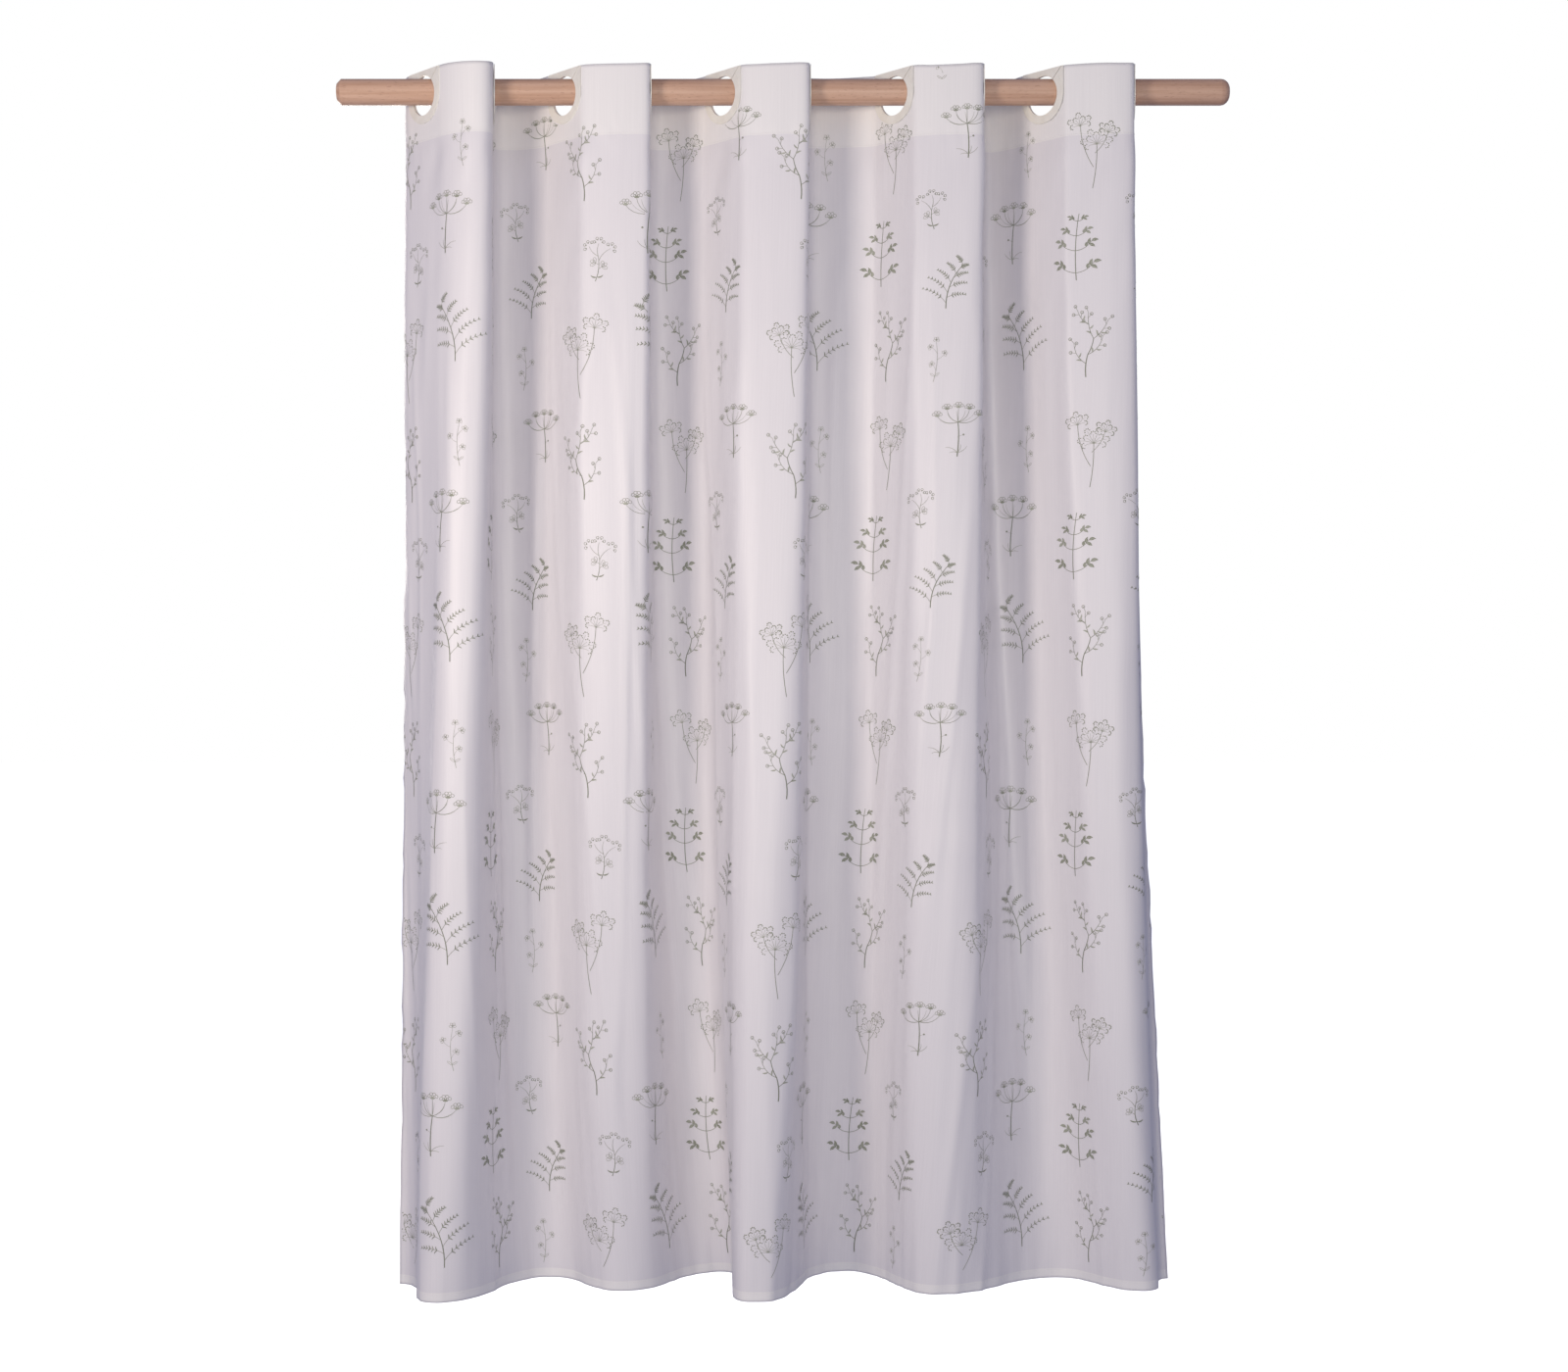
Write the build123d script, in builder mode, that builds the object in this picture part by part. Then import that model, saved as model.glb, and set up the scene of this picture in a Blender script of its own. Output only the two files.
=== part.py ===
"""Shower curtain with built-in split rings, hung in pleats on a round wooden rod.

Millimetres. X runs along the rod, Y from the front of the curtain to its back, Z up. The origin is the centre of the
rod's left end face. The curtain is one printed cloth, doubled at the head and hemmed round. Here it is cut into one
vertical strip per ring, so that each strip can follow its ring along the rod. Each ring is a front and a back half
that clamp the head of the cloth between them, slit from the hole to the top corner so that it clips over the rod.
"""

import os
from math import cos, radians, sin, sqrt

from build123d import *

# Rod
ROD_LENGTH = 1300
ROD_DIAMETER = 38
ROD_LEFT_CHAMFER = 6
ROD_RIGHT_ROUND = 13

# Cloth, as it was cut and sewn
CLOTH_WIDTH = 1800
CLOTH_DROP = 1775
CLOTH_THICKNESS = 0.6  # one layer, thicker than real satin so that a mesh of the sheet keeps its shape
HEAD_DROP = 103
HEM_DROP = 14
STRIP_GAP = 0.6

# Rings
RING_COUNT = 10
EDGE_TO_RING = 72  # from the cloth's side edge to the middle of the first ring
HOLE_SLACK = 9.5  # the hole's radius over the rod's
RING_BAND = 12  # from the hole to the plate's edge
RING_TOP_CUT = 3.5  # the flat top edge lies this far inside the round band's circle
RING_PLATE = 1.2
BAND_RAISED = 0.4
BAND_INSET = 1.4  # from the plate's edges to the raised band
LEFT_CORNER_ROUND = 4
RIGHT_CORNER_ROUND = 1
RING_SLIT = 1.2
SLIT_ANGLE = 45
LIP_WIDTH = 6  # where the halves meet, inside the cloth's cut-out
LIP_CLEARANCE = 0.5  # between the lip and the cloth's cut edge
CLAMP_CLEARANCE = 0.25  # between the cloth and each half
PEG_DIAMETER = 2.4
PEG_CLEARANCE = 0.1
PEG_ANGLES = (15, 75, 125, 180, 235, 300)
ROD_CLEARANCE = 0.4
RING_SAG = 5.5  # how far the rings hang below the rod's axis

# How the curtain hangs
FIRST_RING = 127  # from the rod's left end
# How far each loose length of cloth reaches along the rod, as a share of its own, front and back folds in turn.
SPREAD = (0.76, 0.82, 0.965, 0.83, 0.955, 0.97, 0.965, 0.595, 0.967)
RETURN_ANGLES = (98, 95, 91.5, 88, 85)  # plan direction of the cloth where it turns back through every second ring
MARGIN_CURL = 45  # how far the side margins turn backwards, in degrees
# The folds at the foot: place along the rod from the first ring, in ring pitches, and depth as a share of the deepest.
FOOT_FOLDS = (
    (-0.22, 0.20),
    (0.14, -0.85),
    (0.97, 0.65),
    (1.56, -0.20),
    (2.33, 0.95),
    (2.60, -0.82),
    (3.33, 1.00),
    (4.08, -0.35),
    (5.03, 0.62),
    (5.68, -0.15),
    (5.94, 0.55),
)
OUTLINE_POINTS = 8  # along each length of a strip's outline
DROP_STAGES = 4  # the loft down the drop passes through a section at the end of each stage
HALVINGS = 40

rod_radius = ROD_DIAMETER / 2
pitch = (CLOTH_WIDTH - 2 * EDGE_TO_RING) / (RING_COUNT - 1)
hole_radius = rod_radius + HOLE_SLACK
plate_radius = hole_radius + RING_BAND
plate_top = plate_radius - RING_TOP_CUT
head_thickness = 2 * CLOTH_THICKNESS
clamp_gap = head_thickness + 2 * CLAMP_CLEARANCE
rim_depth = clamp_gap / 2 + RING_PLATE
lip_radius = hole_radius + LIP_WIDTH
cut_radius = lip_radius + LIP_CLEARANCE


def solved(measure, target, low, high):
    """The value between low and high at which the rising function measure reaches target, by halving."""
    for _ in range(HALVINGS):
        middle = (low + high) / 2
        if measure(middle) < target:
            low = middle
        else:
            high = middle
    return low


def sag_at(angle):
    """How far a ring at this angle to the rod can hang below the rod's axis, from the ellipse the rod shows it."""
    across = (rod_radius + rim_depth * cos(radians(angle))) / sin(radians(angle))
    free = hole_radius - ROD_CLEARANCE
    if across >= free:
        return 0
    if across**2 <= free * rod_radius:
        return free - rod_radius
    return sqrt((free**2 - across**2) * (across**2 - rod_radius**2)) / across


# The rod passes slantwise through the front rings, so they can't lie flatter against it than this.
plate_angle = solved(sag_at, RING_SAG, 20, 90)
head_top = plate_top - RING_SAG
seam_height = head_top - HEAD_DROP
foot_height = head_top - CLOTH_DROP

ring_angles = [RETURN_ANGLES[i // 2] if i % 2 else -plate_angle for i in range(RING_COUNT)]
ring_places = [FIRST_RING]
for i, share in enumerate(SPREAD):
    half_plates = plate_radius * (cos(radians(ring_angles[i])) + cos(radians(ring_angles[i + 1])))
    ring_places.append(ring_places[-1] + half_plates + share * (pitch - 2 * plate_radius))


def heading(angle):
    """Unit vector in plan at an angle from +X, in degrees."""
    return Vector(cos(radians(angle)), sin(radians(angle)))


def free_span(start, start_angle, end, end_angle, length):
    """The loose cloth between two rings: a Bezier curve with handles long enough for the cloth's length."""

    def curve(handle):
        return Bezier(start, start + heading(start_angle) * handle, end - heading(end_angle) * handle, end)

    return curve(solved(lambda handle: curve(handle).length, length, 0.1, length))


def head_line():
    """Plan of the cloth at the rings: straight through each ring, loose between them, curled back at the sides."""
    loose = pitch - 2 * plate_radius
    margin = EDGE_TO_RING - plate_radius
    curl = margin / radians(MARGIN_CURL)
    starts, ends = [], []
    for place, angle in zip(ring_places, ring_angles):
        starts.append(Vector(place, 0) - heading(angle) * plate_radius)
        ends.append(Vector(place, 0) + heading(angle) * plate_radius)
    outwards = JernArc(starts[0], heading(ring_angles[0] + 180), curl, -MARGIN_CURL)
    edges = [JernArc(outwards @ 1, (outwards % 1) * -1, curl, MARGIN_CURL)]
    for i in range(RING_COUNT):
        edges.append(Line(starts[i], ends[i]))
        if i + 1 < RING_COUNT:
            edges.append(free_span(ends[i], ring_angles[i], starts[i + 1], ring_angles[i + 1], loose))
    edges.append(JernArc(ends[-1], heading(ring_angles[-1]), curl, MARGIN_CURL))
    return Wire(edges)


def foot_line():
    """Plan of the cloth at its foot: a wave through the folds, deep enough for the cloth's width."""

    def wave(depth):
        return Spline(*[(FIRST_RING + place * pitch, share * depth) for place, share in FOOT_FOLDS])

    return wave(solved(lambda depth: wave(depth).length, CLOTH_WIDTH, 1, pitch))


head = head_line()
foot = foot_line()


def strip_face(i, fallen, thickness, height):
    """Horizontal section of strip i: its place between the head's plan line and the foot's, in three lengths a side."""
    middle = EDGE_TO_RING + i * pitch
    start = 0 if i == 0 else middle - pitch / 2 + STRIP_GAP / 2
    end = CLOTH_WIDTH if i == RING_COUNT - 1 else middle + pitch / 2 - STRIP_GAP / 2
    bounds = (start, middle - plate_radius, middle + plate_radius, end)
    front, back = [], []
    for low, high in zip(bounds, bounds[1:]):
        ahead, behind = [], []
        for n in range(OUTLINE_POINTS):
            share = (low + (high - low) * n / (OUTLINE_POINTS - 1)) / CLOTH_WIDTH
            point = head.position_at(share) * (1 - fallen) + foot.position_at(share) * fallen
            along = head.tangent_at(share) * (1 - fallen) + foot.tangent_at(share) * fallen
            across = Vector(along.Y, -along.X).normalized() * (thickness / 2)
            ahead.append(point + across)
            behind.append(point - across)
        front.append(ahead)
        back.append(behind)
    with BuildSketch(Plane.XY.offset(height)) as section:
        with BuildLine():
            for points in front:
                Spline(*points)
            Line(front[-1][-1], back[-1][-1])
            for points in reversed(back):
                Spline(*reversed(points))
            Line(back[0][0], front[0][0])
        make_face()
    return section.sketch


def ring_plane(i):
    """The mid-plane of a ring, with its x along the cloth, y up and z out of the curtain's front."""
    along = heading(ring_angles[i])
    return Plane(origin=(ring_places[i], 0, -RING_SAG), x_dir=along, z_dir=(along.Y, -along.X, 0))


def slit(mode):
    """The slit from the hole's middle out past the top right corner."""
    reach = 2 * plate_radius
    with Locations(Location((reach / 2 * cos(radians(SLIT_ANGLE)), reach / 2 * sin(radians(SLIT_ANGLE))), SLIT_ANGLE)):
        Rectangle(reach, RING_SLIT, mode=mode)


def make_strip(i):
    """One strip of the cloth: doubled head, single drop and doubled hem, cut out and slit for its ring."""
    hem_top = foot_height + HEM_DROP
    sections = []
    for n in range(DROP_STAGES + 1):
        fallen = 1 - n / DROP_STAGES
        height = hem_top * fallen + seam_height * (1 - fallen)
        sections.append(strip_face(i, fallen, CLOTH_THICKNESS, height))
    with BuildPart() as strip:
        add(strip_face(i, 0, head_thickness, seam_height))
        extrude(amount=HEAD_DROP)
        add(strip_face(i, 1, head_thickness, foot_height))
        extrude(amount=HEM_DROP)
        loft(sections)
        with BuildSketch(ring_plane(i)):
            Circle(cut_radius)
            slit(Mode.ADD)
        extrude(amount=2 * clamp_gap, both=True, mode=Mode.SUBTRACT)
    return strip.part


def make_ring_half(i, front):
    """Half of a ring: an arched plate with a raised round band, a lip that meets the other half, and pegs or holes."""
    outwards = 1 if front else -1
    mid = ring_plane(i)
    inner = mid.offset(outwards * clamp_gap / 2)
    face = mid.offset(outwards * rim_depth)
    with BuildPart() as half:
        with BuildSketch(inner) as outline:
            Circle(plate_radius)
            with Locations((0, plate_top / 2)):
                Rectangle(2 * plate_radius, plate_top)
            with Locations((0, plate_top + plate_radius)):
                Rectangle(2 * plate_radius, 2 * plate_radius, mode=Mode.SUBTRACT)
            corners = outline.vertices().group_by(Axis.Y)[-1].sort_by(Axis.X)
            fillet(corners[0], LEFT_CORNER_ROUND)
            corners = outline.vertices().group_by(Axis.Y)[-1].sort_by(Axis.X)
            fillet(corners[-1], RIGHT_CORNER_ROUND)
            Circle(hole_radius, mode=Mode.SUBTRACT)
            slit(Mode.SUBTRACT)
        extrude(amount=outwards * RING_PLATE)
        with BuildSketch(face):
            Circle(plate_radius - BAND_INSET)
            with Locations((0, plate_top - BAND_INSET + plate_radius)):
                Rectangle(2 * plate_radius, 2 * plate_radius, mode=Mode.SUBTRACT)
            Circle(hole_radius + BAND_INSET, mode=Mode.SUBTRACT)
            slit(Mode.SUBTRACT)
        extrude(amount=outwards * BAND_RAISED)
        with BuildSketch(mid):
            Circle(lip_radius)
            Circle(hole_radius, mode=Mode.SUBTRACT)
            slit(Mode.SUBTRACT)
        extrude(amount=outwards * clamp_gap / 2)
        peg_radius = hole_radius + LIP_WIDTH / 2
        with BuildSketch(mid):
            for angle in PEG_ANGLES:
                with Locations((peg_radius * cos(radians(angle)), peg_radius * sin(radians(angle)))):
                    Circle(PEG_DIAMETER / 2 + (0 if front else PEG_CLEARANCE))
        # The pegs reach from the front half through the mid-plane into holes in the back half.
        reach = clamp_gap / 2 + RING_PLATE / 2
        extrude(amount=-reach, mode=Mode.ADD if front else Mode.SUBTRACT)
    return half.part


os.makedirs("parts", exist_ok=True)

with BuildPart() as rod:
    with BuildSketch(Plane.YZ):
        Circle(rod_radius)
    extrude(amount=ROD_LENGTH)
    chamfer(rod.edges().sort_by(Axis.X)[0], ROD_LEFT_CHAMFER)
    fillet(rod.edges().sort_by(Axis.X)[-1], ROD_RIGHT_ROUND)
rod.part.label = "rod"
export_step(rod.part, "parts/rod.step")

for number in range(RING_COUNT):
    pieces = {
        f"cloth_strip_{number + 1:02d}": make_strip(number),
        f"ring_{number + 1:02d}_front": make_ring_half(number, front=True),
        f"ring_{number + 1:02d}_back": make_ring_half(number, front=False),
    }
    for name, piece in pieces.items():
        piece.label = name
        export_step(piece, f"parts/{name}.step")

print("plate angle", round(plate_angle, 2))
print("head top", round(head_top, 2), "seam", round(seam_height, 2), "foot", round(foot_height, 2))
print("ring places", [round(place, 2) for place in ring_places])
print("line lengths", round(head.length, 1), round(foot.length, 1))
print("pitch", pitch, "plate radius", plate_radius, "hole", hole_radius, "plate top", plate_top)
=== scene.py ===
"""Printed satin shower curtain with split rings, pleated on a beech rod. Metres, in the CAD's frame."""

import math

import bpy
import numpy as np
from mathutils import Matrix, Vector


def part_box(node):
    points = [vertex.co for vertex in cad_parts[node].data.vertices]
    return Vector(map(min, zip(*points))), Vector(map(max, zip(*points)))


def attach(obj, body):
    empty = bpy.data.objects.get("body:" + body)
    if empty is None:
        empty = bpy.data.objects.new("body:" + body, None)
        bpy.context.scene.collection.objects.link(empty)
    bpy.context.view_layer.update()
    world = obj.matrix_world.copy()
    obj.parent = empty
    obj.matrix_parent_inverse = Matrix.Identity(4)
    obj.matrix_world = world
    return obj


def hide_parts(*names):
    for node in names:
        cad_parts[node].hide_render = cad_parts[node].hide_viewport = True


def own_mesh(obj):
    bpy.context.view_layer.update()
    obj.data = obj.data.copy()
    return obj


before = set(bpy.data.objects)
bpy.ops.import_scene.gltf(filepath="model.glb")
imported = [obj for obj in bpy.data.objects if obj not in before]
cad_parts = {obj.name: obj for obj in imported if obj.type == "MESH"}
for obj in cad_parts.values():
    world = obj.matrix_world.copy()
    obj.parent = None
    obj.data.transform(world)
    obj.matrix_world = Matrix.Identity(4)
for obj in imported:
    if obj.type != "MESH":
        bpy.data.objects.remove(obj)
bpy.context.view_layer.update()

# ---- Camera, floor and light -------------------------------------------------------------------------------
# A level camera as high as the middle of the curtain, in front of a white studio. A warm window of light
# stands close at the front left, so the foot is dimmer than the middle. One softbox fills the front, and one
# the back.

HANG_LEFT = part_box("cloth_strip_01")[0][0]
HANG_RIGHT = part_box("cloth_strip_10")[1][0]
FOOT_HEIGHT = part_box("cloth_strip_01")[0][2]
CAMERA_AT = (0.651, -3.43, FOOT_HEIGHT / 2 + 0.006)
CAMERA_LENS = 54.0
FLOOR_HEIGHT = FOOT_HEIGHT - 0.22
FLOOR_HALF = 30.0

camera = bpy.data.objects.new("camera", bpy.data.cameras.new("camera"))
camera.data.lens = CAMERA_LENS
camera.data.sensor_width = 36.0
camera.data.clip_end = 100.0
camera.location = CAMERA_AT
camera.rotation_euler = (math.pi / 2, 0, 0)
bpy.context.scene.collection.objects.link(camera)
bpy.context.scene.camera = camera
bpy.context.scene.view_settings.view_transform = "Standard"
bpy.context.scene.view_settings.look = "None"


def shader_tree(name):
    """A new material's node tree, its Principled shader, and a function that adds a node with its sockets."""
    material = bpy.data.materials.new(name)
    material.use_nodes = True
    tree = material.node_tree

    def add(kind, links=(), **values):
        node = tree.nodes.new(kind)
        for key, value in values.items():
            if hasattr(node, key):
                setattr(node, key, value)
            else:
                node.inputs[key.replace("_", " ")].default_value = value
        for socket, source in dict(links).items():
            tree.links.new(source, node.inputs[socket])
        return node

    return material, tree, tree.nodes["Principled BSDF"], add


def area_light(name, at, target, size, power, colour):
    """A square soft light at a place, turned to face a target."""
    light = bpy.data.lights.new(name, "AREA")
    light.size, light.energy, light.color = size, power, colour
    lamp = bpy.data.objects.new(name, light)
    lamp.location = at
    direction = np.array(target) - np.array(at)
    flat = math.hypot(direction[0], direction[1])
    tilt = math.atan2(flat, -direction[2])
    turn = math.atan2(direction[1], direction[0]) - math.pi / 2
    lamp.rotation_euler = (tilt, 0, turn)
    lamp.visible_camera = False
    bpy.context.scene.collection.objects.link(lamp)


area_light("window_left", (-0.95, -1.9, -0.45), (0.6, 0, -0.6), 0.6, 26, (1.0, 0.90, 0.79))
area_light("softbox", (0.9, -3.3, -0.6), (0.7, 0, -0.7), 1.6, 41, (1.0, 0.945, 0.82))
area_light("rear_softbox", (-0.9, 3.1, -0.2), (0.65, 0, -0.8), 1.8, 75, (1.0, 0.95, 0.86))

world = bpy.data.worlds.new("studio")
world.use_nodes = True
bpy.context.scene.world = world
sky = world.node_tree
seen = sky.nodes.new("ShaderNodeLightPath")
strength = sky.nodes.new("ShaderNodeMapRange")
strength.inputs["To Min"].default_value = 0.31
strength.inputs["To Max"].default_value = 1.0
sky.links.new(seen.outputs["Is Camera Ray"], strength.inputs["Value"])
sky.links.new(strength.outputs["Result"], sky.nodes["Background"].inputs["Strength"])
tint = sky.nodes.new("ShaderNodeMix")
tint.data_type = "RGBA"
tint.inputs["A"].default_value, tint.inputs["B"].default_value = (0.65, 0.675, 1.0, 1), (1, 1, 1, 1)
sky.links.new(seen.outputs["Is Camera Ray"], tint.inputs["Factor"])
sky.links.new(tint.outputs["Result"], sky.nodes["Background"].inputs["Color"])

floor_mesh = bpy.data.meshes.new("floor")
floor_signs = ((-1, -1), (1, -1), (1, 1), (-1, 1))
floor_corners = [(x * FLOOR_HALF, y * FLOOR_HALF, FLOOR_HEIGHT) for x, y in floor_signs]
floor_mesh.from_pydata(floor_corners, [], [(0, 1, 2, 3)])
floor = bpy.data.objects.new("floor", floor_mesh)
bpy.context.scene.collection.objects.link(floor)
floor_paint, tree, shader, add = shader_tree("pale_floor")
shader.inputs["Base Color"].default_value = (0.9, 0.9, 0.9, 1)
shader.inputs["Roughness"].default_value = 0.9
shader.inputs["Emission Color"].default_value = (1, 1, 1, 1)
shader.inputs["Emission Strength"].default_value = 0.85
floor_mesh.materials.append(floor_paint)
floor.visible_diffuse = floor.visible_glossy = False

# ---- Rod ---------------------------------------------------------------------------------------------------
# A plain turned pole of pale pink beech, oiled. Its grain runs along it, with the short dark flecks that
# beech has.

BEECH_PALE = (0.66, 0.43, 0.31, 1)
BEECH_DARK = (0.50, 0.29, 0.19, 1)
BEECH_FLECK = (0.34, 0.18, 0.12, 1)

beech, tree, shader, add = shader_tree("oiled_beech")
place = add("ShaderNodeTexCoord")
along_grain = add("ShaderNodeMapping", {"Vector": place.outputs["Object"]}, Scale=(1.4, 55, 55))
grain = add(
    "ShaderNodeTexNoise", {"Vector": along_grain.outputs["Vector"]},
    Scale=2.0, Detail=6.0, Roughness=0.62,
)
tones = add("ShaderNodeValToRGB", {"Fac": grain.outputs["Fac"]})
tones.color_ramp.elements[0].position, tones.color_ramp.elements[0].color = 0.34, BEECH_DARK
tones.color_ramp.elements[1].position, tones.color_ramp.elements[1].color = 0.62, BEECH_PALE
along_fleck = add("ShaderNodeMapping", {"Vector": place.outputs["Object"]}, Scale=(110, 900, 900))
fleck = add("ShaderNodeTexNoise", {"Vector": along_fleck.outputs["Vector"]}, Scale=1.0, Detail=1.0)
fleck_only = add("ShaderNodeMapRange", {"Value": fleck.outputs["Fac"]})
fleck_only.inputs["From Min"].default_value, fleck_only.inputs["From Max"].default_value = 0.62, 0.72
fleck_only.inputs["To Max"].default_value = 0.5
wood = add("ShaderNodeMix", data_type="RGBA")
tree.links.new(fleck_only.outputs["Result"], wood.inputs["Factor"])
tree.links.new(tones.outputs["Color"], wood.inputs["A"])
wood.inputs["B"].default_value = BEECH_FLECK
tree.links.new(wood.outputs["Result"], shader.inputs["Base Color"])
polish = add("ShaderNodeMapRange", {"Value": grain.outputs["Fac"]})
polish.inputs["To Min"].default_value, polish.inputs["To Max"].default_value = 0.5, 0.36
tree.links.new(polish.outputs["Result"], shader.inputs["Roughness"])
ridges = add("ShaderNodeBump", {"Height": grain.outputs["Fac"]}, Strength=0.25, Distance=0.0004)
tree.links.new(ridges.outputs["Normal"], shader.inputs["Normal"])

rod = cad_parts["rod"]
rod.data.materials.clear()
rod.data.materials.append(beech)

# ---- Rings -------------------------------------------------------------------------------------------------
# Moulded ivory plastic, in two halves pegged together through the head of the cloth, and slit to the top
# corner so that they snap over the rod. They keep the CAD's shape.

IVORY = (0.86, 0.84, 0.78, 1)
IVORY_SHADE = (0.80, 0.77, 0.70, 1)

ivory, tree, shader, add = shader_tree("ivory_plastic")
place = add("ShaderNodeTexCoord")
flow = add("ShaderNodeTexNoise", {"Vector": place.outputs["Object"]}, Scale=45.0, Detail=3.0)
tint = add("ShaderNodeValToRGB", {"Fac": flow.outputs["Fac"]})
tint.color_ramp.elements[0].position, tint.color_ramp.elements[0].color = 0.3, IVORY_SHADE
tint.color_ramp.elements[1].position, tint.color_ramp.elements[1].color = 0.6, IVORY
tree.links.new(tint.outputs["Color"], shader.inputs["Base Color"])
scuffs = add("ShaderNodeTexNoise", {"Vector": place.outputs["Object"]}, Scale=600.0, Detail=2.0)
gloss = add("ShaderNodeMapRange", {"Value": scuffs.outputs["Fac"]})
gloss.inputs["To Min"].default_value, gloss.inputs["To Max"].default_value = 0.24, 0.38
tree.links.new(gloss.outputs["Result"], shader.inputs["Roughness"])
skin = add("ShaderNodeBump", {"Height": scuffs.outputs["Fac"]}, Strength=0.15, Distance=0.0002)
tree.links.new(skin.outputs["Normal"], shader.inputs["Normal"])

RING_COUNT = len([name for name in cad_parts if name.endswith("_front")])
ring_nodes = []
ring_middles = []
ring_headings = []
for number in range(1, RING_COUNT + 1):
    halves = [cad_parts[f"ring_{number:02d}_{half}"] for half in ("front", "back")]
    corners = []
    for half in halves:
        half.data.materials.clear()
        half.data.materials.append(ivory)
        plan = np.empty(len(half.data.vertices) * 3)
        half.data.vertices.foreach_get("co", plan)
        corners.append(plan.reshape(-1, 3)[:, :2])
    corners = np.concatenate(corners)
    # The plate is widest along the cloth: the heading is the main direction of its corners in plan.
    heading = np.linalg.svd(corners - corners.mean(0), full_matrices=False)[2][0]
    heading *= np.sign(heading[1 if number % 2 == 0 else 0])
    across = np.array([heading[1], -heading[0]])
    reach = [(corners @ axis).min() + (corners @ axis).max() for axis in (heading, across)]
    ring_middles.append((reach[0] * heading + reach[1] * across) / 2)
    ring_headings.append(math.atan2(heading[1], heading[0]))
    ring_nodes += [half.name for half in halves]
plate_half = np.ptp(corners @ heading) / 2
HEAD_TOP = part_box("ring_01_front")[1][2]
RING_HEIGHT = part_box("ring_01_front")[0][2] + plate_half

# ---- Cloth -------------------------------------------------------------------------------------------------
# One width of white polyester satin. Its head is doubled and clamped flat in the rings, and stands in a stiff
# fold between each ring and the next. Below the head the folds fall almost straight, and open out towards the
# foot.

CLOTH_WIDTH = 1.8
CLOTH_DROP = HEAD_TOP - FOOT_HEIGHT
HEAD_DROP = 0.103
HEM_DROP = 0.014
SIDE_HEM = 0.010
LAYER = 0.0004
CUT_RADIUS = 0.036
EDGE_TO_RING = 0.072
RING_PITCH = (CLOTH_WIDTH - 2 * EDGE_TO_RING) / (RING_COUNT - 1)
EDGE_CURL = math.radians(45)
# Each fold at the foot: its place from the first ring in ring pitches, and its depth as a share of the
# deepest.
FOOT_FOLDS = np.array([
    (-0.22, 0.20),
    (0.14, -0.85),
    (0.97, 0.65),
    (1.56, -0.20),
    (2.33, 0.95),
    (2.60, -0.82),
    (3.33, 1.00),
    (4.08, -0.35),
    (5.03, 0.62),
    (5.68, -0.15),
    (5.94, 0.55),
])
FOLD_ROUNDNESS = 1.15
FOLD_FALL = 1.5


def solved(measure, target, low, high):
    """The value between low and high at which the rising function measure reaches target, by halving."""
    for _ in range(40):
        middle = (low + high) / 2
        low, high = (middle, high) if measure(middle) < target else (low, middle)
    return low


def unit(angle):
    """Plan direction at an angle from +X."""
    return np.array([math.cos(angle), math.sin(angle)])


def run_length(points):
    """Length of a line of points."""
    return np.linalg.norm(np.diff(points, axis=0), axis=1).sum()


def loose_span(start, start_angle, end, end_angle, length):
    """Cubic Bezier between two rings, its handles along both plates, sized to give the cloth's length."""
    t = np.linspace(0, 1, 200)[:, None]

    def curve(handle):
        a, b = start + unit(start_angle) * handle, end - unit(end_angle) * handle
        return start * (1 - t) ** 3 + 3 * a * t * (1 - t) ** 2 + 3 * b * t**2 * (1 - t) + end * t**3

    return curve(solved(lambda handle: run_length(curve(handle)), length, 1e-4, length))


def head_plan():
    """Plan of the head: straight through each plate, a Bezier between plates, an arc beyond the end ones."""
    margin = EDGE_TO_RING - plate_half
    turn = np.linspace(0, EDGE_CURL, 40)
    radius = margin / EDGE_CURL
    left = ring_middles[0] - unit(ring_headings[0]) * plate_half
    right = ring_middles[-1] + unit(ring_headings[-1]) * plate_half
    back, ahead = ring_headings[0] + math.pi, ring_headings[-1]
    left_centre = left + radius * unit(back - math.pi / 2)
    right_centre = right + radius * unit(ahead + math.pi / 2)
    left_angles = back + math.pi / 2 - turn[::-1]
    right_angles = ahead - math.pi / 2 + turn
    runs = [left_centre + radius * np.stack([np.cos(left_angles), np.sin(left_angles)], 1)]
    for i, (middle, angle) in enumerate(zip(ring_middles, ring_headings)):
        reach = np.linspace(-plate_half, plate_half, 60)[:, None]
        runs.append(middle + reach * unit(angle))
        if i + 1 < RING_COUNT:
            start = middle + unit(angle) * plate_half
            end = ring_middles[i + 1] - unit(ring_headings[i + 1]) * plate_half
            loose = RING_PITCH - 2 * plate_half
            runs.append(loose_span(start, angle, end, ring_headings[i + 1], loose))
    runs.append(right_centre + radius * np.stack([np.cos(right_angles), np.sin(right_angles)], 1))
    return np.concatenate(runs)


def foot_plan():
    """Plan of the foot: Hermite curves, level at each fold, deep enough for the cloth's width."""
    t = np.linspace(0, 1, 120)[:, None]
    rise, start, end = 3 * t**2 - 2 * t**3, t**3 - 2 * t**2 + t, t**3 - t**2

    def wave(depth):
        knots = FOOT_FOLDS * (RING_PITCH, depth) + (ring_middles[0][0], 0)
        runs = []
        for a, b in zip(knots, knots[1:]):
            level = np.array([FOLD_ROUNDNESS * np.linalg.norm(b - a), 0])
            runs.append(a + (b - a) * rise + level * (start + end))
        return np.concatenate(runs), [run_length(run) for run in runs]

    depth = solved(lambda depth: sum(wave(depth)[1]), CLOTH_WIDTH, 0.01, 0.3)
    plan, lengths = wave(depth)
    return plan, np.concatenate([[0], np.cumsum(lengths)])


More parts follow.
